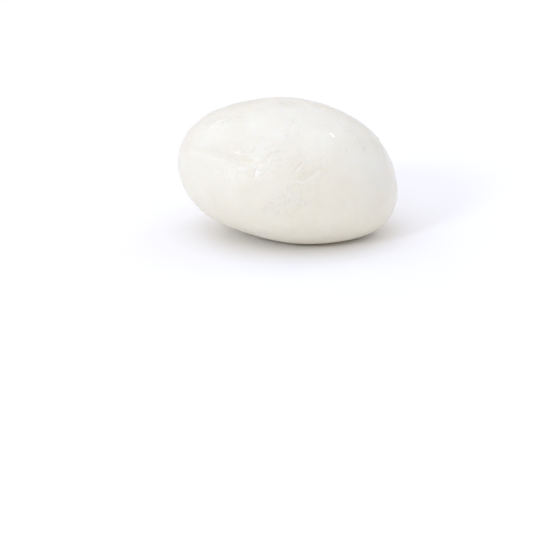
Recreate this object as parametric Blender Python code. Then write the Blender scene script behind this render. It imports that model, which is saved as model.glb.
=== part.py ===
"""Mozzarella ball: one piece of soft pulled-curd cheese, lying as it settles under its own weight.

A standalone Blender 4.5 script, in metres with +Z up. The ball starts as an even sphere of square cells.
How far it reaches in each direction, which is a tilted egg's reach plus soft swells and hollows, gives it its
outline. Then it gets the folds that the stretched curd keeps, and the flat patch that it rests on.

Directions are seen from the ball's heart: azimuth 0 is the front (-Y) and 90 the right end (+X), and
elevation 90 is straight up.
"""

import math
from collections import namedtuple

import bmesh
import bpy
import numpy as np

Swell = namedtuple("Swell", "azimuth elevation spread height")
Fold = namedtuple("Fold", "start end depth wall foot")

# The ball's own axes, before it settles
LENGTH = 0.0768
DEPTH = 0.0624
THICKNESS = 0.0480
TILT = math.radians(9.6)  # how far the right end of the long axis hangs down

# Soft swells (height above 0) and hollows (below 0), in degrees and metres
SWELLS = (
    Swell(azimuth=90, elevation=0, spread=22, height=-0.0021),  # blunt right end
    Swell(azimuth=80, elevation=-28, spread=20, height=0.0017),  # its heavy lower corner
    Swell(azimuth=145, elevation=69, spread=24, height=0.0003),  # crown
    Swell(azimuth=-113, elevation=51, spread=22, height=-0.0006),  # slack of the left shoulder
    Swell(azimuth=-83, elevation=-22, spread=16, height=0.0011),  # low left cheek
    Swell(azimuth=-53, elevation=-62, spread=28, height=-0.0012),  # drawn-up left underside
    Swell(azimuth=-60, elevation=88, spread=8, height=-0.0005),  # saucer dimple on top
    Swell(azimuth=20, elevation=14, spread=9, height=-0.0004),  # shallow hollow right of the front
    Swell(azimuth=34, elevation=30, spread=15, height=0.0005),  # soft shoulder beside it
    Swell(azimuth=150, elevation=-4, spread=24, height=0.0009),  # fuller right back
    Swell(azimuth=-150, elevation=26, spread=18, height=-0.0008),  # slack of the left back
)

# Folds run from one direction (azimuth, elevation) to another. The wall is how far a fold's steep upper side
# reaches from its floor, and the foot how far its gentle lower side does.
FOLDS = (
    Fold(start=(-68, 17.5), end=(-17, 16), depth=0.0011, wall=0.0032, foot=0.0070),  # across the front
    Fold(start=(-169, 12), end=(-127, -6), depth=0.0009, wall=0.0032, foot=0.0065),  # across the back
)
FOLD_FADE = 0.3  # the part of a fold's run over which it fades in or out

# How far its own weight presses the underside in, and how softly the pressed patch turns up at its rim
SETTLE = 0.0030
RIM_ROUNDING = 0.0012

CELLS = 28  # square cells along each side of the starting cube

SKIN_COLOUR = (0.90, 0.88, 0.81, 1.0)
SKIN_ROUGHNESS = 0.42


def towards(azimuth, elevation):
    """Return the unit vector from the heart in a direction given in degrees."""
    around = math.radians(azimuth)
    up = math.radians(elevation)
    flat = math.cos(up)
    return np.array([math.sin(around) * flat, -math.cos(around) * flat, math.sin(up)])


def egg_reach(directions):
    """Return how far the tilted, three-axis egg reaches in each direction."""
    along = directions[:, 0] * math.cos(TILT) - directions[:, 2] * math.sin(TILT)
    over = directions[:, 0] * math.sin(TILT) + directions[:, 2] * math.cos(TILT)
    across = directions[:, 1]
    parts = (along / (LENGTH / 2)) ** 2 + (across / (DEPTH / 2)) ** 2 + (over / (THICKNESS / 2)) ** 2
    return 1 / np.sqrt(parts)


def swell_height(directions, swell):
    """Return what one swell adds to the reach: a bell around its middle."""
    middle = towards(swell.azimuth, swell.elevation)
    angle = np.degrees(np.arccos(np.clip(directions @ middle, -1, 1)))
    return swell.height * np.exp(-((angle / swell.spread) ** 2))


def swollen(directions):
    """Return the points of the egg with its swells and hollows."""
    reach = egg_reach(directions)
    for swell in SWELLS:
        reach = reach + swell_height(directions, swell)
    return directions * reach[:, None]


def smooth_step(value):
    """Return a smooth rise from 0 to 1 as the value goes from 0 to 1."""
    value = np.clip(value, 0, 1)
    return value * value * (3 - 2 * value)


def fold_height(points, fold):
    """Return how far a fold draws each point in: a groove, steep above its floor, that fades at both ends."""
    start, end = swollen(np.array([towards(*fold.start), towards(*fold.end)]))
    run = end - start
    length = np.linalg.norm(run)
    along = run / length
    outward = (start + end) / np.linalg.norm(start + end)
    upward = np.cross(outward, along)
    offsets = points - start
    place = offsets @ along / length
    fading = smooth_step(place / FOLD_FADE) * smooth_step((1 - place) / FOLD_FADE)
    fading = np.where(points @ outward > 0, fading, 0)
    across = offsets @ upward
    reach = np.where(across > 0, fold.wall, fold.foot)
    return -fold.depth * fading * np.exp(-((across / reach) ** 2))


def settle(points):
    """Set the points down on z = 0, with the lowest SETTLE of the ball pressed into a level patch."""
    points[:, 2] -= points[:, 2].min() + SETTLE
    height = points[:, 2]
    nearness = np.clip(RIM_ROUNDING - np.abs(height), 0, None) / RIM_ROUNDING
    points[:, 2] = np.maximum(height, 0) + nearness**2 * RIM_ROUNDING / 4
    middle = (points.min(axis=0) + points.max(axis=0)) / 2
    points[:, :2] -= middle[:2]
    return points


def starting_sphere():
    """Return a bmesh cube of CELLS x CELLS squares a side, its points spaced for an even sphere."""
    sphere = bmesh.new()
    bmesh.ops.create_cube(sphere, size=2)
    bmesh.ops.subdivide_edges(sphere, edges=sphere.edges[:], cuts=CELLS - 1, use_grid_fill=True)
    for vertex in sphere.verts:
        vertex.co = [math.tan(value * math.pi / 4) for value in vertex.co]
        vertex.co.normalize()
    return sphere


def skin_material():
    """Return the smooth, slightly damp, creamy white skin."""
    material = bpy.data.materials.new("mozzarella_skin")
    material.use_nodes = True
    shader = material.node_tree.nodes["Principled BSDF"]
    shader.inputs["Base Color"].default_value = SKIN_COLOUR
    shader.inputs["Roughness"].default_value = SKIN_ROUGHNESS
    shader.inputs["Metallic"].default_value = 0
    return material


def make_ball(collection):
    """Shape the sphere into the ball and link it as one object."""
    sphere = starting_sphere()
    directions = np.array([vertex.co[:] for vertex in sphere.verts])
    points = swollen(directions)
    folding = sum(fold_height(points, fold) for fold in FOLDS)
    points = settle(points + directions * folding[:, None])
    for vertex, point in zip(sphere.verts, points):
        vertex.co = point
    bmesh.ops.recalc_face_normals(sphere, faces=sphere.faces[:])
    mesh = bpy.data.meshes.new("mozzarella_ball")
    sphere.to_mesh(mesh)
    sphere.free()
    mesh.shade_smooth()
    mesh.materials.append(skin_material())
    ball = bpy.data.objects.new("mozzarella_ball", mesh)
    collection.objects.link(ball)
    return ball


def main():
    for old in list(bpy.data.objects):
        bpy.data.objects.remove(old, do_unlink=True)
    collection = bpy.data.collections.new("Mozzarella ball")
    bpy.context.scene.collection.children.link(collection)
    make_ball(collection)


main()
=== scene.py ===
"""The looks of a ball of fresh mozzarella: its folded, damp skin, its flecks of curd, and a pale stage.

Sizes are in metres. Directions are seen from the middle of the ball, in degrees: azimuth 0 is the front (-Y),
90 the right end (+X), and elevation 90 is straight up.
"""

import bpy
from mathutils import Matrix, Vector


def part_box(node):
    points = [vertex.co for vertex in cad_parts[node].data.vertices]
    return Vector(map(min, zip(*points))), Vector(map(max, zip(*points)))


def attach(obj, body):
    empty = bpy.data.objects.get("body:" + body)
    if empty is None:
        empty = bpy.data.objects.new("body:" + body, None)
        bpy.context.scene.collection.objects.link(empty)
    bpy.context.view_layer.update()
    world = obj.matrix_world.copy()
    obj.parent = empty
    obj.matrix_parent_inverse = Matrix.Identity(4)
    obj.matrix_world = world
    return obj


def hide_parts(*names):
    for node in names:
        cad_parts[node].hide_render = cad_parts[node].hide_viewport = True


bl_info = {
    "name": "Fresh mozzarella ball",
    "version": (1, 0, 0),
    "blender": (4, 5, 0),
    "location": "3D View > Sidebar > Mozzarella",
    "description": "Builds the skin and the flecks of a mozzarella ball round its frame, and lights them",
    "category": "Object",
}

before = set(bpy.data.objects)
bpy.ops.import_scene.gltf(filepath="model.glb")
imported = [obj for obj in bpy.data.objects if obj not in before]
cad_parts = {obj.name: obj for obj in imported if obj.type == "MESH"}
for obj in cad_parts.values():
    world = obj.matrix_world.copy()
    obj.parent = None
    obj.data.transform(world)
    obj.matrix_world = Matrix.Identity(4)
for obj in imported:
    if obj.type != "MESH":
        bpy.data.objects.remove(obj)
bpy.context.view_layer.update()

import math
from collections import namedtuple

import bmesh
import bpy
from bpy.props import FloatProperty, FloatVectorProperty, IntProperty, PointerProperty
from mathutils import Vector
from mathutils.bvhtree import BVHTree

NODE = "mozzarella_ball"
BODY = "root"
SKIN = "mozzarella_skin"
CRUMBS = "curd_flecks"

MM = 0.001
LOW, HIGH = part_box(NODE)
MIDDLE = (LOW + HIGH) / 2
SPAN = HIGH - LOW

WORKED = "worked"  # the skin's attribute: 0 where it is smooth, 1 where the curd is worked
FLECKED = "flecked"  # another: how thickly flecks lie there, from 0 to 1
WET = "wet"  # another: how much whey stands on it, 1 at most; 0 is the smooth skin, below 0 has drained
SIZE = "size"  # the flecks' attribute

MATH, VECTOR = "ShaderNodeMath", "ShaderNodeVectorMath"
NOISE, RANGE, GROUP = "ShaderNodeTexNoise", "ShaderNodeMapRange", "GeometryNodeGroup"
MOVE = "GeometryNodeSetPosition"
FULLY_WORKED = 0.08  # a patch whose lumps are this high, in millimetres, has its strokes in full
NOISE_LOW, NOISE_HIGH = 0.35, 0.65  # a noise texture's values lie mostly between these
HALF = (0.5, 0.5, 0.5)  # for vectors, and the middle of a noise texture's colours

# A crease fades in and out over these shares of its run. It leaves the ball's far side alone: it is whole
# down to NEAR_SIDE behind its own middle, and gone at FAR_SIDE.
FADE_IN, FADE_OUT = 0.34, 0.18
FAR_SIDE, NEAR_SIDE = -18 * MM, -12 * MM

# A knot's outline strays by up to half of WANDER, in waves of WANDER_SIZE. Its slope ends at KNOT_RIM of
# its half sizes.
WANDER, WANDER_SIZE = 3.5 * MM, 1.3 * MM
KNOT_RIM = 1.35

# A patch is whole inside PATCH_HEART of its half sizes and gone outside PATCH_RIM. Noise draws both in, by up
# to PATCH_SHIFT.
PATCH_RIM, PATCH_HEART = 1.5, 1.0
PATCH_SHIFT, PATCH_SHIFT_SIZE = 0.9, 4 * MM
RIDGE_TOP, RIDGE_FALL = 0.6, -1.6  # a ridge's height where the noise is even, and how it falls to both sides
HOLLOW, HOLLOW_ROUNDING = -0.15, 0.3  # how low gaps between lumps go, as a share of height, and how softly

# Pimples and grain gather in areas
AREA_SIZE = 14 * MM
AREA_LOW, AREA_HIGH = 0.42, 0.6
GRAIN_BETWEEN = 0.25  # share of the grain's height that is left between the areas
SMALLEST_PIMPLE, PIMPLE_SPREAD = 0.5, 0.7  # sizes beside the common one
PIMPLE_RIM, PIMPLE_TOP = 1.3, 0.2  # where a pimple's slope ends and starts, as shares of its radius

# The skin's relief and the flecks die away towards the level patch underneath, between these heights
RELIEF_FROM, RELIEF_FULL = 0.2 * MM, 2.5 * MM
FLECKS_FROM, FLECKS_FULL = 3 * MM, 5 * MM
FLECK_WAVES = 0.9 * MM  # how long the waves are that make a fleck uneven

# Least and most of a fleck's size beside the common one, its spin in radians, and how far it is drawn out
FLECK_DRAWS = ((0.7, 1.3), (-0.7, 0.7), (1.0, 1.8))

GRAIN_BUMP = 0.6  # strength of the fine grain
UPRIGHT = 0.45  # height's share in the strokes' pattern: below 1, it draws them out upright
STROKE_LOW, STROKE_HIGH = 0.38, 0.62  # tighter than other noise, so that strokes have crisp sides
SINKING_BY_COLOUR = (1.0, 0.75, 0.5)  # the bluer the light, the less far it goes into the curd
CURD_IOR, WHEY_IOR = 1.4, 1.34  # whey is nearly water
WHEY_ROUGHNESS = 0.12

FLOOR_RADIUS, FLOOR_SIDES = 5.0, 96
NEAREST_VIEW = 0.01  # the camera shows nothing nearer than this

# A crease runs from one direction to another. Width is how far its slopes reach on each side, and bow how far
# its middle stands above the straight line; both in millimetres, like its depth.
Crease = namedtuple("Crease", "start end profile depth width bow")

# A knot is one lump, or a dent where its height is below 0: its middle and turn in degrees, the rest in
# millimetres
Knot = namedtuple("Knot", "middle turn half_length half_breadth height")

# A patch is an oval of worked curd: its middle and turn in degrees, its half length and half breadth, the
# size of its lumps, how many times longer than broad they are, how ridged (0 to 1) and how high; then how
# thickly flecks lie on it (0 to 1), and how wet it is (as in WET). Sizes are in millimetres.
Patch = namedtuple("Patch", "middle turn half_length half_breadth grain stretch ridge height flecks wet")

# A lamp is far off in a direction, and its disc is so many degrees across
Lamp = namedtuple("Lamp", "name direction size colour strength")

# A fleck is a loose crumb of curd at a chosen place: its direction, and its size beside the common one
Fleck = namedtuple("Fleck", "middle size")

# Profiles across a crease, from its lower side (-1) to its upper side (1), as shares of its depth
FOLD = (
    (-1, 0),
    (-0.65, 0.1),
    (-0.45, 0.13),
    (-0.28, 0),
    (-0.16, -0.4),
    (-0.05, -0.62),
    (0.1, -0.55),
    (0.32, -0.25),
    (0.55, 0.02),
    (0.7, 0.08),
    (0.85, 0.06),
    (1, 0),
)
PINCH = ((-1, 0), (-0.6, 0.12), (-0.3, -0.3), (0, -1), (0.35, -0.6), (0.7, -0.2), (1, 0))
SLIT = ((-1, 0), (-0.5, 0.3), (-0.2, -0.2), (0, -1), (0.2, -0.4), (0.5, 0), (1, 0))
TROUGH = ((-1, 0), (-0.5, -0.35), (0, -1), (0.5, -0.55), (1, 0))

CREASES = (
    Crease((-76, 14.5), (-19, 15.8), FOLD, 0.38, 4.8, 0.4),  # the long fold across the front
    Crease((-80, 13.5), (-43, 18.5), FOLD, 0.28, 4.4, 0.2),  # its deeper left half
    Crease((-34, 18), (-17, 15.6), PINCH, 0.2, 2.0, 0.1),  # where it tightens and ends
    Crease((-12, 19), (0, 21.5), SLIT, 0.18, 0.8, 0.1),  # fine line that carries it on
    Crease((3.5, 14), (10.5, 20), SLIT, 0.22, 1.3, 0.0),  # short nick
    Crease((2, 9.5), (20, 14.5), TROUGH, 0.38, 1.8, -1.2),  # slack arc under the nick
    Crease((14, -3), (40, -9), TROUGH, 0.18, 1.8, -0.3),  # slack line low on the right
    Crease((-168, 11), (-130, -5.5), FOLD, 0.46, 5.0, 0.3),  # the fold across the back
    Crease((-148, 5), (-129, -4), PINCH, 0.24, 2.0, 0.1),  # where it tightens and ends
    Crease((-122, -2), (-108, 2), SLIT, 0.18, 0.9, 0.1),  # fine line that carries it on
    Crease((172, 20), (180, 27), SLIT, 0.28, 1.2, 0.0),  # short nick beyond it
    Crease((130, -4), (152, 4), TROUGH, 0.34, 1.7, -1.0),  # slack arc on the right back
)

KNOTS = (
    Knot((-16, 24.3), 65, 2.6, 1.1, 0.21),  # ridge where the front fold ends
    Knot((-9.2, 28.5), 20, 1.3, 1.0, 0.26),
    Knot((-13.5, 31), 0, 0.9, 0.7, 0.13),
    Knot((-2.5, 37), 50, 2.4, 0.7, 0.14),
    Knot((-27, 26.7), 30, 1.3, 1.1, 0.28),  # knot above the fold, in a ring of dents
    Knot((-32, 30), 0, 1.2, 0.9, -0.14),
    Knot((-31.5, 23.5), 100, 1.4, 0.6, -0.15),
    Knot((-15.5, 18), 0, 3.6, 2.2, -0.18),  # slack where the fold ends
    Knot((-40, 24), -10, 2.0, 0.5, -0.12),
    Knot((8.6, 13.6), 40, 1.5, 1.0, 0.2),
    Knot((5.8, 7.2), 20, 1.1, 0.9, 0.36),  # bead under the nick
    Knot((23.5, 8.5), 60, 1.3, 0.8, 0.22),
    Knot((30, 18), 90, 2.6, 0.6, 0.14),
    Knot((39.5, 36.5), -62, 2.9, 1.2, 0.075),  # wet bead on the right shoulder
    Knot((34.5, 43), -20, 1.2, 0.8, 0.14),
    Knot((37, -7), 0, 0.9, 0.7, 0.17),
    Knot((4, 54), 70, 1.4, 0.8, 0.17),  # lumps on the upper front
    Knot((-18, 58), 20, 1.2, 0.8, 0.15),
    Knot((-52, 60), 0, 1.0, 0.8, -0.15),
    Knot((-145, 20), 50, 2.8, 0.7, 0.28),  # ridge and knots beside the back fold
    Knot((-150, 26), 0, 1.0, 0.8, 0.25),
    Knot((-137, 18), 0, 1.1, 0.8, -0.22),
    Knot((170, 5), 20, 1.1, 0.8, 0.22),
    Knot((150, 30), -40, 1.8, 0.8, 0.22),
    Knot((120, 10), 80, 1.4, 0.8, 0.19),
)

PATCHES = (
    Patch((-13, 26), 50, 5.0, 3.0, 1.2, 2.0, 0.5, 0.11, 0, 1),  # wrinkles where the front fold ends
    Patch((-29.5, 24), 75, 3.0, 1.8, 0.8, 1.2, 0.4, 0.15, 0, -0.25),  # crumbs above it
    Patch((-22, 13), 85, 2.2, 3.3, 0.75, 2.4, 0.0, 0.26, 0, 1),  # grainy lip under it
    Patch((-16, 14), 20, 1.9, 1.8, 0.8, 1.4, 0.4, 0.14, 0, 1),  # curls at the end of the lip
    Patch((1, -2), 20, 11.0, 6.5, 1.1, 1.2, 0.1, 0.18, 0.6, 0.2),  # matted low front
    Patch((14, 8), 30, 5.5, 3.0, 1.0, 1.5, 0.2, 0.10, 0, 0.6),
    Patch((23, 16), 95, 5.5, 2.0, 1.0, 2.4, 0.3, 0.2, 0, 0.6),  # upright wrinkles right of the nick
    Patch((0, 40), 80, 8.0, 3.0, 1.2, 1.4, 0.2, 0.10, 0.12, 0.6),  # loose chain of lumps up to the crown
    Patch((38, 38), -66, 4.2, 1.8, 0.9, 1.3, 0.2, 0.022, 0, 1),  # crumbs beside the wet bead
    Patch((-68, 38), 35, 9.0, 3.2, 0.9, 1.2, 0.1, 0.08, 0.5, 0.5),  # crumbs along the left shoulder
    Patch((60, 31), 88, 9.0, 2.2, 1.0, 1.2, 0.1, 0.08, 0.5, 0.3),  # rough edge of the right shoulder
    Patch((5, 82), 0, 6.0, 4.0, 1.1, 1.5, 0.2, 0.04, 0.15, 0.3),  # dimple on top
    Patch((57, -11), 95, 3.0, 1.6, 0.8, 3.0, 0.6, 0.14, 0, 0.2),  # upright lines low on the right
    Patch((-25, -31), 0, 7.0, 2.4, 0.8, 1.3, 0.2, 0.24, 1, 0.3),  # ragged low left edge
    Patch((-148, 22), 45, 5.0, 3.0, 1.2, 2.0, 0.5, 0.14, 0.2, 0.8),  # wrinkles beside the back fold
    Patch((-160, 0), 0, 4.5, 2.0, 0.8, 0.7, 0.2, 0.13, 0, 1),  # grainy lip under it
    Patch((165, -5), -20, 9.0, 4.6, 1.0, 1.2, 0.1, 0.15, 0.7, 0.2),  # matted low back
    Patch((140, 25), 25, 8.0, 4.0, 1.2, 1.5, 0.3, 0.12, 0.3, 0.5),
    Patch((-110, 30), 60, 8.0, 4.0, 1.0, 1.3, 0.2, 0.12, 0.5, 0.4),
    Patch((100, 5), 80, 7.0, 4.0, 1.1, 1.6, 0.3, 0.11, 0.2, 0.4),  # right end
    Patch((-26, 21.6), -20, 5.2, 1.4, 1.0, 1.0, 0.0, 0.0, 0, -0.45),  # drained ridge above the front fold
)

FLECKS = (
    Fleck((-16, -10), 1.2),  # pair low on the front
    Fleck((-13, -10), 1.2),
    Fleck((43, 23.5), 1.1),
    Fleck((71, 38), 1.2),
    Fleck((-77, 18), 1.3),  # row along the left shoulder
    Fleck((-74, 27), 1.6),
    Fleck((-70.5, 30.5), 1.2),
    Fleck((-70, 33.5), 1.3),
    Fleck((-62.5, 36.5), 1.6),
    Fleck((-59, 40), 1.3),
    Fleck((-92, 63), 1.3),
    Fleck((-120, 15), 1.4),  # a few round the back
    Fleck((-152, 28), 1.5),
    Fleck((-140, 12), 1.3),
    Fleck((160, 12), 1.4),
    Fleck((128, 20), 1.2),
    Fleck((100, 25), 1.3),
)

LAMPS = (
    Lamp("key", (-43, 27), 12, (0.7, 0.8, 1), 0.77),  # from the front left: the wet shine under the fold
    Lamp("side", (-80, 58), 70, (0.46, 0.61, 1), 0.61),  # from above the left end: it shades the fold
    Lamp("rim", (105, 12), 50, (0.02, 0.33, 1), 0.49),  # from the right: it cools that end
    Lamp("glint", (134, 50), 7, (1, 1, 1), 0.08),  # from behind, right: the wet streak on that shoulder
    Lamp("back_glint", (-142, 38), 7, (1, 1, 1), 0.06),  # from behind, left: the beads on the left shoulder
)


def linear(hex_colour):
    """Turn an sRGB hex colour into linear red, green, blue and full alpha."""
    channels = [int(hex_colour[place : place + 2], 16) / 255 for place in (1, 3, 5)]
    return (*(c / 12.92 if c <= 0.04045 else ((c + 0.055) / 1.055) ** 2.4 for c in channels), 1.0)


def towards(azimuth, elevation):
    """Return the unit vector of a direction given in degrees."""
    around = math.radians(azimuth)
    up = math.radians(elevation)
    return Vector((math.sin(around) * math.cos(up), -math.cos(around) * math.cos(up), math.sin(up)))


# Node trees


def add(tree, kind, *feeds, named=None, **settings):
    """Add a node with its settings; feed its inputs, in order or by name, from values, nodes or sockets."""
    node = tree.nodes.new(kind)
    for name, value in settings.items():
        setattr(node, name, value)
    inputs = [socket for socket in node.inputs if socket.enabled]
    by_name = {socket.name: socket for socket in reversed(inputs)}
    wanted = [*zip(inputs, feeds), *((by_name[name], value) for name, value in (named or {}).items())]
    for socket, value in wanted:
        if isinstance(value, bpy.types.Node):
            value = next(output for output in value.outputs if output.enabled)
        if isinstance(value, bpy.types.NodeSocket):
            tree.links.new(value, socket)
        else:
            socket.default_value = value
    return node


def new_group(name, inputs, outputs):
    """Return a Geometry Nodes tree, its inputs' sockets by name, and its output node."""
    tree = bpy.data.node_groups.new(name, "GeometryNodeTree")
    for in_out, sockets in (("INPUT", inputs), ("OUTPUT", outputs)):
        for socket_name, kind in sockets.items():
            tree.interface.new_socket(name=socket_name, in_out=in_out, socket_type="NodeSocket" + kind)
    given = tree.nodes.new("NodeGroupInput")
    return tree, given.outputs, tree.nodes.new("NodeGroupOutput")


def run_tree(carrier, tree, values):
    """Run a tree on an object, its inputs set by name, and return what it makes as a plain mesh."""
    modifier = carrier.modifiers.new(tree.name, "NODES")
    modifier.node_group = tree
    for item in tree.interface.items_tree:
        if item.in_out == "INPUT" and item.name in values:
            modifier[item.identifier] = values[item.name]
    evaluated = carrier.evaluated_get(bpy.context.evaluated_depsgraph_get())
    mesh = bpy.data.meshes.new_from_object(evaluated)
    carrier.modifiers.remove(modifier)
    return mesh


def curve_points(node, points):
    """Shape a Float Curve node through (place, height) points, both from -1 to 1."""
    curve = node.mapping.curves[0]
    while len(curve.points) < len(points):
        curve.points.new(0.5, 0.5)
    for point, (place, height) in zip(curve.points, points):
        point.location = ((place + 1) / 2, (height + 1) / 2)
    node.mapping.update()


def crease_group(name, profile):
    """Return the group that gives each point the height of one crease."""
    tree, given, result = new_group(
        name,
        {"Start": "Vector", "End": "Vector", "Depth": "Float", "Width": "Float", "Bow": "Float"},
        {"Height": "Float"},
    )
    run = add(tree, VECTOR, given["End"], given["Start"], operation="SUBTRACT")
    along = add(tree, VECTOR, run, operation="NORMALIZE")
    halfway = add(tree, VECTOR, given["End"], given["Start"], operation="ADD")
    halfway = add(tree, VECTOR, halfway, HALF, operation="MULTIPLY")
    outward = add(tree, VECTOR, halfway, MIDDLE, operation="SUBTRACT")
    outward = add(tree, VECTOR, outward, operation="NORMALIZE")
    upward = add(tree, VECTOR, outward, along, operation="CROSS_PRODUCT")
    upward = add(tree, VECTOR, upward, operation="NORMALIZE")

    position = add(tree, "GeometryNodeInputPosition")
    offset = add(tree, VECTOR, position, given["Start"], operation="SUBTRACT")
    distance = add(tree, VECTOR, offset, along, operation="DOT_PRODUCT")
    length = add(tree, VECTOR, run, operation="LENGTH")
    place = add(tree, MATH, distance, length, operation="DIVIDE")
    rest = add(tree, MATH, 1.0, place, operation="SUBTRACT")
    bulge = add(tree, MATH, place, rest, operation="MULTIPLY")
    bulge = add(tree, MATH, bulge, given["Bow"], operation="MULTIPLY")
    across = add(tree, VECTOR, offset, upward, operation="DOT_PRODUCT")
    across = add(tree, MATH, bulge, -4.0, across, operation="MULTIPLY_ADD")

    share = add(tree, MATH, across, given["Width"], operation="DIVIDE")
    share = add(tree, MATH, share, 0.5, 0.5, operation="MULTIPLY_ADD", use_clamp=True)
    shape = add(tree, "ShaderNodeFloatCurve", 1.0, share)
    curve_points(shape, profile)
    height = add(tree, MATH, shape, 2.0, -1.0, operation="MULTIPLY_ADD")
    height = add(tree, MATH, height, given["Depth"], operation="MULTIPLY")

    depth_in = add(tree, VECTOR, position, halfway, operation="SUBTRACT")
    depth_in = add(tree, VECTOR, depth_in, outward, operation="DOT_PRODUCT")
    for value, none, whole in ((place, 0.0, FADE_IN), (rest, 0.0, FADE_OUT), (depth_in, FAR_SIDE, NEAR_SIDE)):
        fade = add(tree, RANGE, value, none, whole, interpolation_type="SMOOTHSTEP")
        height = add(tree, MATH, height, fade, operation="MULTIPLY")
    tree.links.new(height.outputs[0], result.inputs["Height"])
    return tree


# The inputs that place an oval
OVAL = {
    "Middle": "Vector",
    "Along": "Vector",
    "Outward": "Vector",
    "Half Length": "Float",
    "Half Breadth": "Float",
}


def oval_place(tree, given, position):
    """Return how far along, across and out of an oval a point is, and its distance by the half sizes."""
    offset = add(tree, VECTOR, position, given["Middle"], operation="SUBTRACT")
    sideways = add(tree, VECTOR, given["Outward"], given["Along"], operation="CROSS_PRODUCT")
    axes = (given["Along"], sideways, given["Outward"])
    reaches = (given["Half Length"], given["Half Breadth"], given["Half Length"])
    place = [add(tree, VECTOR, offset, axis, operation="DOT_PRODUCT") for axis in axes]
    shares = [add(tree, MATH, part, reach, operation="DIVIDE") for part, reach in zip(place, reaches)]
    share = add(tree, "ShaderNodeCombineXYZ", *shares)
    return place, add(tree, VECTOR, share, operation="LENGTH")


def knot_group():
    """Return the group that gives each point the height of one lump or dent."""
    tree, given, result = new_group("Knot", {**OVAL, "Height": "Float"}, {"Height": "Float"})
    position = add(tree, "GeometryNodeInputPosition")
    noise = add(tree, NOISE, named={"Scale": 1 / WANDER_SIZE, "Detail": 1.0})
    wander = add(tree, VECTOR, noise.outputs["Color"], HALF, operation="SUBTRACT")
    wander = add(tree, VECTOR, wander, named={"Scale": WANDER}, operation="SCALE")
    position = add(tree, VECTOR, position, wander, operation="ADD")
    _, share = oval_place(tree, given, position)
    bell = add(tree, RANGE, share, KNOT_RIM, 0.0, interpolation_type="SMOOTHSTEP")
    height = add(tree, MATH, bell, given["Height"], operation="MULTIPLY")
    tree.links.new(height.outputs[0], result.inputs["Height"])
    return tree


def patch_group():
    """Return the group that gives each point the height of one patch of lumps or ridges."""
    tree, given, result = new_group(
        "Worked curd",
        {**OVAL, **dict.fromkeys(("Grain", "Stretch", "Ridge", "Height", "Seed"), "Float")},
        {"Height": "Float", "Weight": "Float"},
    )
    position = add(tree, "GeometryNodeInputPosition")
    (along, across, outward), share = oval_place(tree, given, position)
    shift = add(tree, NOISE, position, named={"Scale": 1 / PATCH_SHIFT_SIZE})
    share = add(tree, MATH, shift, PATCH_SHIFT, share, operation="MULTIPLY_ADD")
    weight = add(tree, RANGE, share, PATCH_RIM, PATCH_HEART, interpolation_type="SMOOTHSTEP")

    stretched = add(tree, MATH, along, given["Stretch"], operation="DIVIDE")
    noise = add(
        tree,
        NOISE,
        noise_dimensions="4D",
        named={
            "Vector": add(tree, "ShaderNodeCombineXYZ", stretched, across, outward),
            "W": given["Seed"],
            "Scale": add(tree, MATH, 1.0, given["Grain"], operation="DIVIDE"),
            "Detail": 1.5,
            "Roughness": 0.5,
            "Distortion": 0.4,
        },
    )
    centred = add(tree, RANGE, noise, NOISE_LOW, NOISE_HIGH, -1.0, 1.0)
    away = add(tree, MATH, centred, operation="ABSOLUTE")
    ridge = add(tree, MATH, away, RIDGE_FALL, RIDGE_TOP, operation="MULTIPLY_ADD")
    pattern = add(tree, "ShaderNodeMix", given["Ridge"], centred, ridge, data_type="FLOAT")
    shallow = add(tree, MATH, pattern, HOLLOW, HOLLOW_ROUNDING, operation="SMOOTH_MAX")
    height = add(tree, MATH, shallow, given["Height"], operation="MULTIPLY")
    height = add(tree, MATH, height, weight, operation="MULTIPLY")
    tree.links.new(height.outputs[0], result.inputs["Height"])
    tree.links.new(weight.outputs[0], result.inputs["Weight"])
    return tree


def pimple_group():
    """Return the group that gives each point the height of scattered pimples, one or none to a cell."""
    tree, given, result = new_group(
        "Pimples",
        {"Spacing": "Float", "Radius": "Float", "Height": "Float", "Share": "Float"},
        {"Height": "Float"},
    )
    position = add(tree, "GeometryNodeInputPosition")
    scale = add(tree, MATH, 1.0, given["Spacing"], operation="DIVIDE")
    cells = add(tree, "ShaderNodeTexVoronoi", position, named={"Scale": scale})
    lot = add(tree, "ShaderNodeSeparateXYZ", cells.outputs["Color"])
    chosen = add(tree, MATH, lot.outputs["X"], given["Share"], operation="LESS_THAN")
    size = add(tree, MATH, lot.outputs["Y"], PIMPLE_SPREAD, SMALLEST_PIMPLE, operation="MULTIPLY_ADD")
    distance = add(tree, MATH, cells.outputs["Distance"], given["Spacing"], operation="MULTIPLY")
    radius = add(tree, MATH, given["Radius"], size, operation="MULTIPLY")
    share = add(tree, MATH, distance, radius, operation="DIVIDE")
    bump = add(tree, RANGE, share, PIMPLE_RIM, PIMPLE_TOP, interpolation_type="SMOOTHSTEP")
    height = add(tree, MATH, bump, size, operation="MULTIPLY")
    height = add(tree, MATH, height, given["Height"], operation="MULTIPLY")
    height = add(tree, MATH, height, chosen, operation="MULTIPLY")
    tree.links.new(height.outputs[0], result.inputs["Height"])
    return tree


def sum_of(tree, parts):
    """Add up several heights or weights."""
    total = parts[0]
    for part in parts[1:]:
        total = add(tree, MATH, total, part, operation="ADD")
    return total


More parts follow.
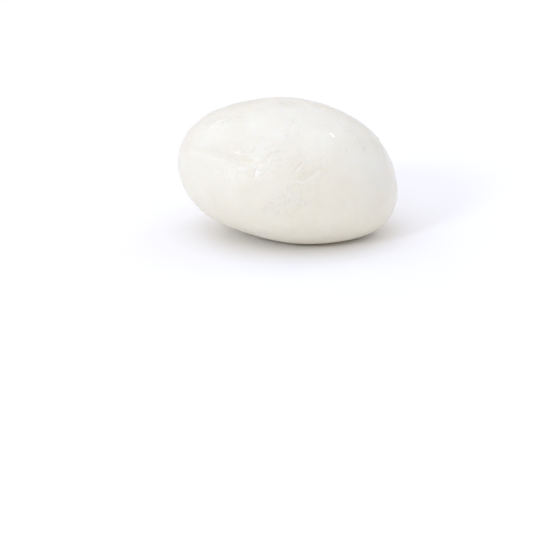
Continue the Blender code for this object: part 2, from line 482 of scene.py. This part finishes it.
def skin_tree(surface):
    """Return the tree that wraps an even, fine skin round the plain solid and works its relief."""
    tree, given, result = new_group(
        "Mozzarella skin",
        {
            "Solid": "Geometry",
            "Middle": "Vector",
            "Cells": "Int",
            "Lean": "Vector",
            "Evening": "Int",
            **dict.fromkeys(("Filling", "Fold Depth", "Knot Height", "Patch Height", "Seed"), "Float"),
            **dict.fromkeys(("Pimple Height", "Pimple Radius", "Pimple Spacing", "Pimple Share"), "Float"),
            **dict.fromkeys(("Peel Height", "Peel Size", "Grain Height", "Grain Size"), "Float"),
            "Material": "Material",
        },
        {"Skin": "Geometry"},
    )
    # A sphere of squares, smaller towards the front, thrown out onto the solid and evened to lose its facets
    corners = add(tree, MATH, given["Cells"], 1.0, operation="ADD")
    cube = add(tree, "GeometryNodeMeshCube", (2, 2, 2), corners, corners, corners)
    position = add(tree, "GeometryNodeInputPosition")
    spread = add(tree, VECTOR, position, (math.pi / 4,) * 3, operation="MULTIPLY")
    spread = add(tree, VECTOR, spread, operation="TANGENT")
    direction = add(tree, VECTOR, spread, operation="NORMALIZE")
    direction = add(tree, VECTOR, direction, given["Lean"], operation="ADD")
    direction = add(tree, VECTOR, direction, operation="NORMALIZE")
    hit = add(
        tree,
        "GeometryNodeRaycast",
        given["Solid"],
        named={"Source Position": given["Middle"], "Ray Direction": direction, "Ray Length": SPAN.length},
    )
    skin = add(tree, MOVE, cube, named={"Position": hit.outputs["Hit Position"]})
    evened = add(tree, "GeometryNodeBlurAttribute", position, given["Evening"], data_type="FLOAT_VECTOR")
    skin = add(tree, MOVE, skin, named={"Position": evened})

    heights = []
    groups = {}
    for crease in CREASES:
        if crease.profile not in groups:
            groups[crease.profile] = crease_group("Crease", crease.profile)
        group = groups[crease.profile]
        depth = add(tree, MATH, given["Fold Depth"], crease.depth * MM, operation="MULTIPLY")
        places = {"Start": surface.place(*crease.start), "End": surface.place(*crease.end)}
        sizes = {"Depth": depth, "Width": crease.width * MM, "Bow": crease.bow * MM}
        heights.append(add(tree, GROUP, node_tree=group, named={**places, **sizes}))

    group = knot_group()
    for knot in KNOTS:
        height = add(tree, MATH, given["Knot Height"], knot.height * MM, operation="MULTIPLY")
        feeds = {**surface.oval(knot), "Height": height}
        heights.append(add(tree, GROUP, node_tree=group, named=feeds))

    group = patch_group()
    weights = {WORKED: [], FLECKED: [], WET: []}
    for number, patch in enumerate(PATCHES):
        feeds = {
            **surface.oval(patch),
            "Grain": patch.grain * MM,
            "Stretch": patch.stretch,
            "Ridge": patch.ridge,
            "Height": add(tree, MATH, given["Patch Height"], patch.height * MM, operation="MULTIPLY"),
            "Seed": add(tree, MATH, given["Seed"], float(number), operation="ADD"),
        }
        worked = add(tree, GROUP, node_tree=group, named=feeds)
        heights.append(worked)
        strokes = min(1.0, patch.height / FULLY_WORKED)
        for name, share in ((WORKED, strokes), (FLECKED, patch.flecks), (WET, patch.wet)):
            weight = add(tree, MATH, worked.outputs["Weight"], float(share), operation="MULTIPLY")
            weights[name].append(weight)

    feeds = {name: given[f"Pimple {name}"] for name in ("Spacing", "Radius", "Height", "Share")}
    pimples = add(tree, GROUP, node_tree=pimple_group(), named=feeds)
    feeds = {"W": given["Seed"], "Scale": 1 / AREA_SIZE, "Detail": 1.0}
    noise = add(tree, NOISE, noise_dimensions="4D", named=feeds)
    areas = add(tree, RANGE, noise, AREA_LOW, AREA_HIGH, interpolation_type="SMOOTHSTEP")
    heights.append(add(tree, MATH, pimples, areas, operation="MULTIPLY"))

    waves = {}
    for kind, detail, roughness in (("Peel", 2.0, 0.55), ("Grain", 1.0, 0.5)):
        scale = add(tree, MATH, 1.0, given[f"{kind} Size"], operation="DIVIDE")
        feeds = {"W": given["Seed"], "Scale": scale, "Detail": detail, "Roughness": roughness}
        noise = add(tree, NOISE, noise_dimensions="4D", named=feeds)
        centred = add(tree, RANGE, noise, NOISE_LOW, NOISE_HIGH, -1.0, 1.0)
        waves[kind] = add(tree, MATH, centred, given[f"{kind} Height"], operation="MULTIPLY")
    roughened = add(tree, MATH, areas, 1 - GRAIN_BETWEEN, GRAIN_BETWEEN, operation="MULTIPLY_ADD")
    grain = add(tree, MATH, waves["Grain"], roughened, operation="MULTIPLY")
    heights += [waves["Peel"], grain]

    # The relief stands out along the normal, and dies away towards the level patch underneath
    height = add(tree, MATH, sum_of(tree, heights), given["Filling"], operation="ADD")
    level = add(tree, "ShaderNodeSeparateXYZ", position)
    band = (level.outputs["Z"], RELIEF_FROM, RELIEF_FULL)
    clear = add(tree, RANGE, *band, interpolation_type="SMOOTHSTEP")
    height = add(tree, MATH, height, clear, operation="MULTIPLY")
    for name, parts in weights.items():
        weight = add(tree, MATH, sum_of(tree, parts), 1.0, operation="MINIMUM")
        skin = add(tree, "GeometryNodeStoreNamedAttribute", skin, named={"Name": name, "Value": weight})
    normal = add(tree, "GeometryNodeInputNormal")
    offset = add(tree, VECTOR, normal, named={"Scale": height}, operation="SCALE")
    skin = add(tree, MOVE, skin, named={"Offset": offset})
    # Nothing sinks below the floor, which is at 0
    above = add(tree, VECTOR, position, (-1.0, -1.0, 0.0), operation="MAXIMUM")
    skin = add(tree, MOVE, skin, named={"Position": above})
    skin = add(tree, "GeometryNodeSetShadeSmooth", skin)
    skin = add(tree, "GeometryNodeRealizeInstances", skin)
    skin = add(tree, "GeometryNodeSetMaterial", skin, named={"Material": given["Material"]})
    tree.links.new(skin.outputs[0], result.inputs["Skin"])
    return tree


def fleck_tree():
    """Return the tree that half sinks flecks of curd in the skin, scattered and at chosen places."""
    tree, given, result = new_group(
        "Curd flecks",
        {
            "Skin": "Geometry",
            "Chosen": "Object",
            **dict.fromkeys(("Density", "Spacing", "Radius", "Height", "Sunk", "Unevenness"), "Float"),
            "Seed": "Int",
            "Material": "Material",
        },
        {"Flecks": "Geometry"},
    )
    position = add(tree, "GeometryNodeInputPosition")
    level = add(tree, "ShaderNodeSeparateXYZ", position)
    clear = add(tree, RANGE, level.outputs["Z"], FLECKS_FROM, FLECKS_FULL)
    flecked = add(tree, "GeometryNodeInputNamedAttribute", FLECKED, data_type="FLOAT")
    density = add(tree, MATH, flecked, clear, operation="MULTIPLY")
    points = add(
        tree,
        "GeometryNodeDistributePointsOnFaces",
        given["Skin"],
        distribute_method="POISSON",
        named={
            "Distance Min": given["Spacing"],
            "Density Max": given["Density"],
            "Density Factor": density,
            "Seed": given["Seed"],
        },
    )
    draws = ({"Min": low, "Max": high, "Seed": given["Seed"]} for low, high in FLECK_DRAWS)
    drawer = "FunctionNodeRandomValue"
    size, spin, drawn = (add(tree, drawer, data_type="FLOAT", named=draw) for draw in draws)
    points = add(tree, "GeometryNodeStoreNamedAttribute", points, named={"Name": SIZE, "Value": size})
    chosen = add(tree, "GeometryNodeObjectInfo", given["Chosen"])
    chosen = add(tree, "GeometryNodeMeshToPoints", chosen.outputs["Geometry"])
    joined = add(tree, "GeometryNodeJoinGeometry", points)
    tree.links.new(chosen.outputs[0], joined.inputs[0])

    # Each one stands on the skin, drawn out upright along it
    size = add(tree, "GeometryNodeInputNamedAttribute", SIZE, data_type="FLOAT")
    sampler = "GeometryNodeSampleNearestSurface"
    place, outward = (
        add(tree, sampler, given["Skin"], data_type="FLOAT_VECTOR", named={"Value": field})
        for field in (position, add(tree, "GeometryNodeInputNormal"))
    )
    sunk = add(tree, MATH, given["Sunk"], size, operation="MULTIPLY")
    sunk = add(tree, VECTOR, outward, named={"Scale": sunk}, operation="SCALE")
    place = add(tree, VECTOR, place, sunk, operation="SUBTRACT")
    points = add(tree, MOVE, joined, named={"Position": place})
    aligner = "FunctionNodeAlignRotationToVector"
    turn = add(tree, aligner, named={"Vector": outward}, axis="Z")
    turn = add(tree, aligner, turn, named={"Vector": (0, 0, 1)}, axis="Y", pivot_axis="Z")
    spun = add(tree, "FunctionNodeAxisAngleToRotation", (0, 0, 1), spin)
    turn = add(tree, "FunctionNodeRotateRotation", turn, spun, rotation_space="LOCAL")
    breadth = add(tree, MATH, given["Radius"], size, operation="MULTIPLY")
    length = add(tree, MATH, breadth, drawn, operation="MULTIPLY")
    height = add(tree, MATH, given["Height"], size, operation="MULTIPLY")
    scale = add(tree, "ShaderNodeCombineXYZ", breadth, length, height)
    fleck = add(tree, "GeometryNodeMeshIcoSphere", 1.0, 2)
    flecks = add(
        tree,
        "GeometryNodeInstanceOnPoints",
        points,
        named={"Instance": fleck, "Rotation": turn, "Scale": scale},
    )
    flecks = add(tree, "GeometryNodeRealizeInstances", flecks)
    noise = add(tree, NOISE, named={"Scale": 1 / FLECK_WAVES})
    strays = add(tree, VECTOR, noise.outputs["Color"], HALF, operation="SUBTRACT")
    strays = add(tree, VECTOR, strays, named={"Scale": given["Unevenness"]}, operation="SCALE")
    flecks = add(tree, MOVE, flecks, named={"Offset": strays})
    flecks = add(tree, "GeometryNodeSetShadeSmooth", flecks)
    flecks = add(tree, "GeometryNodeSetMaterial", flecks, named={"Material": given["Material"]})
    tree.links.new(flecks.outputs[0], result.inputs["Flecks"])
    return tree


class Surface:
    """The plain solid's surface, welded, to find places on it."""

    def __init__(self, node):
        solid = bmesh.new()
        solid.from_mesh(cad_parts[node].data)
        bmesh.ops.remove_doubles(solid, verts=solid.verts[:], dist=0.001 * MM)
        self.hits = BVHTree.FromBMesh(solid)
        self.mesh = bpy.data.meshes.new("welded_solid")
        solid.to_mesh(self.mesh)
        solid.free()

    def place(self, azimuth, elevation):
        """Return the point of the surface in a direction."""
        place, _, _, _ = self.hits.ray_cast(MIDDLE, towards(azimuth, elevation))
        return place

    def oval(self, mark):
        """Return the middle, axes and half sizes of a knot or patch, as a node group's inputs."""
        place, outward, _, _ = self.hits.ray_cast(MIDDLE, towards(*mark.middle))
        right = Vector((0, 0, 1)).cross(outward).normalized()
        turn = math.radians(mark.turn)
        return {
            "Middle": place,
            "Along": right * math.cos(turn) + outward.cross(right) * math.sin(turn),
            "Outward": outward,
            "Half Length": mark.half_length * MM,
            "Half Breadth": mark.half_breadth * MM,
        }


# Materials


def fresh_curd(name, settings, sinking):
    """Fresh mozzarella: stretched, smoothed curd, still wet with whey.

    The eye gets a creamy white that light sinks into, a satin skin broken up by its grain, and a film of whey
    that is thin on the smooth skin and shines on the worked curd. A loose crumb lets no light sink in.
    """
    material = bpy.data.materials.new(name)
    material.use_nodes = True
    tree = material.node_tree
    shader = tree.nodes["Principled BSDF"]
    place = add(tree, "ShaderNodeTexCoord").outputs["Object"]

    clouds = add(tree, NOISE, place, named={"Scale": 1 / settings.cloud_size, "Detail": 3.0})
    clouds = add(tree, RANGE, clouds, NOISE_LOW, NOISE_HIGH)
    colours = ((*settings.colour, 1), (*settings.cloud_colour, 1))
    colour = add(tree, "ShaderNodeMix", clouds, *colours, data_type="RGBA")
    tree.links.new(colour.outputs["Result"], shader.inputs["Base Color"])

    feeds = {"Scale": 1 / settings.damp_size, "Detail": 4.0, "Roughness": 0.6}
    damp = add(tree, NOISE, place, named=feeds)
    roughness = (settings.dampest_roughness, settings.driest_roughness)
    damp = add(tree, RANGE, damp, NOISE_LOW, NOISE_HIGH, *roughness)
    tree.links.new(damp.outputs[0], shader.inputs["Roughness"])

    feeds = {"Scale": 1 / settings.grain_size, "Detail": 2.0, "Roughness": 0.6}
    grain = add(tree, NOISE, place, named=feeds)
    bump = add(tree, "ShaderNodeBump", GRAIN_BUMP, settings.grain_height, named={"Height": grain})

    # Worked curd is drawn out upright into strokes, coarser than its real fibres, which are too fine to show
    worked = add(tree, "ShaderNodeAttribute", attribute_name=WORKED).outputs["Fac"]
    worked = add(tree, RANGE, worked, 0.0, 1.0, settings.strokes_elsewhere, 1.0)
    drawn = add(tree, VECTOR, place, (1.0, 1.0, UPRIGHT), operation="MULTIPLY")
    feeds = {"Scale": 1 / settings.stroke_size, "Detail": 1.5, "Distortion": 0.4}
    noise = add(tree, NOISE, drawn, named=feeds)
    strokes = add(tree, RANGE, noise, STROKE_LOW, STROKE_HIGH)
    strokes = add(tree, MATH, strokes, worked, operation="MULTIPLY")
    bump = add(tree, "ShaderNodeBump", 1.0, settings.stroke_height, named={"Height": strokes, "Normal": bump})
    tree.links.new(bump.outputs[0], shader.inputs["Normal"])

    # The film of whey bridges the grain, and softens the strokes
    film = add(tree, "ShaderNodeBump", 1.0, settings.film_height, named={"Height": strokes})
    tree.links.new(film.outputs[0], shader.inputs["Coat Normal"])
    wet = add(tree, "ShaderNodeAttribute", attribute_name=WET).outputs["Fac"]
    more = settings.full_film - settings.thin_film
    wet = add(tree, MATH, wet, more, settings.thin_film, operation="MULTIPLY_ADD", use_clamp=True)
    tree.links.new(wet.outputs[0], shader.inputs["Coat Weight"])

    shader.inputs["IOR"].default_value = CURD_IOR
    shader.inputs["Subsurface Weight"].default_value = sinking
    shader.inputs["Subsurface Radius"].default_value = SINKING_BY_COLOUR
    shader.inputs["Subsurface Scale"].default_value = settings.sinking_depth
    shader.inputs["Coat Roughness"].default_value = WHEY_ROUGHNESS
    shader.inputs["Coat IOR"].default_value = WHEY_IOR
    return material


def floor_paper(colour):
    """Matt white paper: an even, pale ground with hardly any shine."""
    material = bpy.data.materials.new("matt_white_paper")
    material.use_nodes = True
    shader = material.node_tree.nodes["Principled BSDF"]
    shader.inputs["Base Color"].default_value = (*colour, 1)
    shader.inputs["Roughness"].default_value = 0.9
    shader.inputs["Specular IOR Level"].default_value = 0.1
    return material


# Light


def soft_lamp(lamp, share):
    """Add a far, soft lamp, its strength times a share."""
    light = bpy.data.lights.new(lamp.name, "SUN")
    light.angle = math.radians(lamp.size)
    light.color = lamp.colour
    light.energy = lamp.strength * share
    carrier = bpy.data.objects.new(lamp.name, light)
    carrier.rotation_euler = (-towards(*lamp.direction)).to_track_quat("-Z", "Y").to_euler()
    bpy.context.scene.collection.objects.link(carrier)


def studio_world(settings):
    """Return the surround: an even light and a wide glow from straight above, and plain white to look at."""
    world = bpy.data.worlds.new("studio")
    world.use_nodes = True
    tree = world.node_tree
    background = tree.nodes["Background"]
    direction = add(tree, "ShaderNodeTexCoord").outputs["Generated"]
    upright = add(tree, "ShaderNodeSeparateXYZ", direction).outputs["Z"]
    facing = add(tree, MATH, upright, 0.5, 0.5, operation="MULTIPLY_ADD")
    facing = add(tree, MATH, facing, settings.glow_focus, operation="POWER")
    glow = add(tree, VECTOR, tuple(settings.glow_colour), operation="SCALE", named={"Scale": facing})
    glow = add(tree, VECTOR, glow, operation="SCALE", named={"Scale": settings.glow})
    feeds = {"Scale": settings.even_light}
    even = add(tree, VECTOR, tuple(settings.even_colour), operation="SCALE", named=feeds)
    light = add(tree, VECTOR, glow, even, operation="ADD")
    seen = add(tree, "ShaderNodeLightPath").outputs["Is Camera Ray"]
    colour = add(tree, "ShaderNodeMix", seen, light, (*settings.backdrop_colour, 1), data_type="RGBA")
    tree.links.new(colour.outputs["Result"], background.inputs["Color"])
    return world


# Settings


def a_length(name, description, millimetres):
    """Return a property that holds a length, given in millimetres."""
    default = millimetres * MM
    return FloatProperty(name=name, description=description, default=default, unit="LENGTH", precision=5)


def a_share(name, description, default):
    """Return a property that holds a share of something."""
    return FloatProperty(name=name, description=description, default=default, min=0, subtype="FACTOR")


def a_colour(name, description, default):
    """Return a property that holds a colour: a hex value, or linear red, green and blue."""
    default = linear(default)[:3] if isinstance(default, str) else default
    return FloatVectorProperty(
        name=name, description=description, default=default, subtype="COLOR", min=0, max=1
    )


def tree_inputs(settings):
    """Return a group of settings as a tree's inputs, named as they are: fold_depth feeds Fold Depth."""
    return {name.replace("_", " ").title(): getattr(settings, name) for name in settings.__annotations__}


class SkinSettings(bpy.types.PropertyGroup):
    """What a user would change on the skin's form"""

    cells: IntProperty(name="Cells", description="Squares along each side", default=128, min=8, max=128)
    evening: IntProperty(name="Evening", description="Rounds that smooth out facets", default=60, min=0)
    finest: FloatVectorProperty(
        name="Finest", description="Direction of the smallest squares, in degrees", default=(-15, 30), size=2
    )
    lean: a_share("Lean", "How much smaller the squares are there", 0.28)
    filling: a_length("Filling", "Makes up for what the evening takes off", 0.12)
    fold_depth: a_share("Folds", "How deep the folds and nicks are", 1.0)
    knot_height: a_share("Knots", "How high the single lumps stand", 1.0)
    patch_height: a_share("Patches", "How high the worked patches stand", 1.0)
    pimple_height: a_length("Pimple height", "Height of a pimple", 0.22)
    pimple_radius: a_length("Pimple radius", "Radius of a pimple", 0.5)
    pimple_spacing: a_length("Pimple spacing", "Distance between the places of pimples", 2.3)
    pimple_share: a_share("Pimple share", "Share of the places that have a pimple", 0.3)
    peel_height: a_length("Peel height", "Height of the skin's slow waves", 0.06)
    peel_size: a_length("Peel size", "Size of the skin's slow waves", 4.5)
    grain_height: a_length("Grain height", "Height of the skin's grain", 0.05)
    grain_size: a_length("Grain size", "Size of the skin's grain", 1.0)
    seed: FloatProperty(name="Seed", description="Draws another relief of the same kind", default=3.0)


class CurdSettings(bpy.types.PropertyGroup):
    """What a user would change on the curd's finish"""

    colour: a_colour("Colour", "The curd's creamy white", "#EDEADC")
    cloud_colour: a_colour("Cloud colour", "The white that it clouds over to", "#EAE6D6")
    cloud_size: a_length("Cloud size", "Size of the clouds", 11)
    dampest_roughness: a_share("Dampest roughness", "Roughness where the skin is dampest", 0.34)
    driest_roughness: a_share("Driest roughness", "Roughness where the skin is driest", 0.5)
    damp_size: a_length("Damp size", "Size of the damp areas", 6)
    grain_height: a_length("Grain height", "Height of the fine grain", 0.11)
    grain_size: a_length("Grain size", "Size of the fine grain", 0.6)
    stroke_height: a_length("Stroke height", "Height of the strokes on worked curd", 0.06)
    stroke_size: a_length("Stroke size", "Breadth of the strokes on worked curd", 0.8)
    strokes_elsewhere: a_share("Strokes elsewhere", "Share of the strokes' height on smooth skin", 0.1)
    film_height: a_length("Film height", "Height of the strokes in the film of whey", 0.045)
    thin_film: a_share("Thin film", "Shine of the whey on smooth skin", 0.3)
    full_film: a_share("Full film", "Shine of the whey on wet curd", 1.0)
    sinking: a_share("Sinking", "Share of the light that sinks into the skin", 0.35)
    sinking_depth: a_length("Sinking depth", "How far light goes in the curd", 0.8)


class FleckSettings(bpy.types.PropertyGroup):
    """What a user would change on the flecks of curd"""

    density: FloatProperty(name="Density", description="Most to a square millimetre", default=0.9, min=0)
    spacing: a_length("Spacing", "Least distance between flecks", 0.8)
    radius: a_length("Radius", "Half breadth of a fleck", 0.44)
    height: a_length("Height", "Half thickness of a fleck", 0.13)
    sunk: a_length("Sunk", "How far a fleck's middle is under the skin", 0.06)
    unevenness: a_length("Unevenness", "How far a fleck's own skin strays", 0.10)
    seed: IntProperty(name="Seed", description="Draws another scatter", default=5)


class StageSettings(bpy.types.PropertyGroup):
    """What a user would change on the floor, the light and the camera"""

    floor_colour: a_colour("Floor colour", "The paper's white", "#F8F6F2")
    backdrop_colour: a_colour("Backdrop colour", "The white seen beyond the floor", "#FFFFFF")
    lamps: a_share("Lamps", "Strength of the lamps beside the common one", 1.0)
    even_light: a_share("Even light", "Strength of the even surround", 0.593)
    even_colour: a_colour("Even colour", "Its warm colour", (1, 0.853, 0.65))
    glow: a_share("Glow", "Strength of the glow from above", 1.02)
    glow_colour: a_colour("Glow colour", "Its cool colour", (0.57, 0.704, 1))
    glow_focus: FloatProperty(name="Glow focus", description="How fast the glow fades downwards", default=4.5)
    elevation: FloatProperty(
        name="Elevation",
        description="How steeply the camera looks down",
        default=math.radians(21.3),
        unit="ROTATION",
    )
    distance: FloatProperty(name="Distance", description="From camera to aim", default=0.529, unit="LENGTH")
    lens: FloatProperty(name="Lens", description="Focal length in millimetres", default=100, unit="CAMERA")
    left: a_length("Left", "How far left of the ball's middle the camera aims", 2.7)
    below: a_length("Below", "How far below the ball's middle the camera aims", 38.5)


# Operators


class MOZZARELLA_OT_ball(bpy.types.Operator):
    """Wrap the worked, pimpled skin round the plain solid"""

    bl_idname = "mozzarella.ball"
    bl_label = "Ball"

    def execute(self, context):
        settings = context.scene.mozzarella_skin
        curd = context.scene.mozzarella_curd
        surface = Surface(NODE)
        carrier = bpy.data.objects.new("skin_carrier", surface.mesh)
        context.scene.collection.objects.link(carrier)
        values = {
            **tree_inputs(settings),
            "Middle": MIDDLE,
            "Lean": towards(*settings.finest) * settings.lean,
            "Material": fresh_curd("fresh_mozzarella_curd", curd, curd.sinking),
        }
        mesh = run_tree(carrier, skin_tree(surface), values)
        bpy.data.objects.remove(carrier)
        skin = bpy.data.objects.new(SKIN, mesh)
        mesh.name = SKIN
        context.scene.collection.objects.link(skin)
        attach(skin, BODY)
        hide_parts(NODE)
        return {"FINISHED"}


class MOZZARELLA_OT_flecks(bpy.types.Operator):
    """Half sink loose flecks of curd in the skin"""

    bl_idname = "mozzarella.flecks"
    bl_label = "Flecks"

    def execute(self, context):
        settings = context.scene.mozzarella_flecks
        skin = bpy.data.objects[SKIN]
        surface = Surface(NODE)
        mesh = bpy.data.meshes.new("chosen_places")
        mesh.from_pydata([surface.place(*fleck.middle) for fleck in FLECKS], [], [])
        sizes = mesh.attributes.new(SIZE, "FLOAT", "POINT")
        sizes.data.foreach_set("value", [fleck.size for fleck in FLECKS])
        chosen = bpy.data.objects.new("chosen_places", mesh)
        context.scene.collection.objects.link(chosen)
        values = {
            **tree_inputs(settings),
            "Chosen": chosen,
            "Density": settings.density / MM**2,
            "Material": fresh_curd("loose_curd_crumb", context.scene.mozzarella_curd, 0.0),
        }
        carrier = bpy.data.objects.new("fleck_carrier", skin.data)
        context.scene.collection.objects.link(carrier)
        mesh = run_tree(carrier, fleck_tree(), values)
        bpy.data.objects.remove(carrier)
        bpy.data.objects.remove(chosen)
        flecks = bpy.data.objects.new(CRUMBS, mesh)
        mesh.name = CRUMBS
        context.scene.collection.objects.link(flecks)
        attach(flecks, BODY)
        return {"FINISHED"}


class MOZZARELLA_OT_stage(bpy.types.Operator):
    """Lay the pale floor, and set the soft studio light and the camera"""

    bl_idname = "mozzarella.stage"
    bl_label = "Stage"

    def execute(self, context):
        scene = context.scene
        settings = scene.mozzarella_stage
        mesh = bpy.data.meshes.new("floor")
        disc = bmesh.new()
        bmesh.ops.create_circle(disc, cap_ends=True, segments=FLOOR_SIDES, radius=FLOOR_RADIUS)
        disc.to_mesh(mesh)
        disc.free()
        mesh.materials.append(floor_paper(settings.floor_colour))
        floor = bpy.data.objects.new("floor", mesh)
        scene.collection.objects.link(floor)

        sine, cosine = math.sin(settings.elevation), math.cos(settings.elevation)
        upward = Vector((0, sine, cosine))
        forward = Vector((0, cosine, -sine))
        aim = MIDDLE - Vector((settings.left, 0, 0)) - upward * settings.below
        camera = bpy.data.objects.new("camera", bpy.data.cameras.new("camera"))
        camera.data.lens = settings.lens
        camera.data.clip_start = NEAREST_VIEW
        camera.location = aim - forward * settings.distance
        camera.rotation_euler = forward.to_track_quat("-Z", "Y").to_euler()
        scene.collection.objects.link(camera)
        scene.camera = camera

        for lamp in LAMPS:
            soft_lamp(lamp, settings.lamps)
        scene.world = studio_world(settings)
        scene.view_settings.view_transform = "Standard"
        return {"FINISHED"}


STEPS = (
    (MOZZARELLA_OT_ball, ("mozzarella_skin", "mozzarella_curd")),
    (MOZZARELLA_OT_flecks, ("mozzarella_flecks",)),
    (MOZZARELLA_OT_stage, ("mozzarella_stage",)),
)


class MOZZARELLA_PT_panel(bpy.types.Panel):
    """Lists the steps, each with its settings"""

    bl_label = "Mozzarella"
    bl_idname = "MOZZARELLA_PT_panel"
    bl_space_type = "VIEW_3D"
    bl_region_type = "UI"
    bl_category = "Mozzarella"

    def draw(self, context):
        for operator, groups in STEPS:
            box = self.layout.box()
            box.operator(operator.bl_idname)
            for group in groups:
                settings = getattr(context.scene, group)
                for name in settings.__annotations__:
                    box.prop(settings, name)


SETTINGS = {
    "mozzarella_skin": SkinSettings,
    "mozzarella_curd": CurdSettings,
    "mozzarella_flecks": FleckSettings,
    "mozzarella_stage": StageSettings,
}
CLASSES = (*SETTINGS.values(), *(operator for operator, _ in STEPS), MOZZARELLA_PT_panel)


def register():
    for cls in CLASSES:
        bpy.utils.register_class(cls)
    for name, group in SETTINGS.items():
        setattr(bpy.types.Scene, name, PointerProperty(type=group))


def unregister():
    for name in SETTINGS:
        delattr(bpy.types.Scene, name)
    for cls in reversed(CLASSES):
        bpy.utils.unregister_class(cls)


def main():
    register()
    bpy.ops.mozzarella.ball()
    bpy.ops.mozzarella.flecks()
    bpy.ops.mozzarella.stage()


if __name__ == "__main__":
    main()
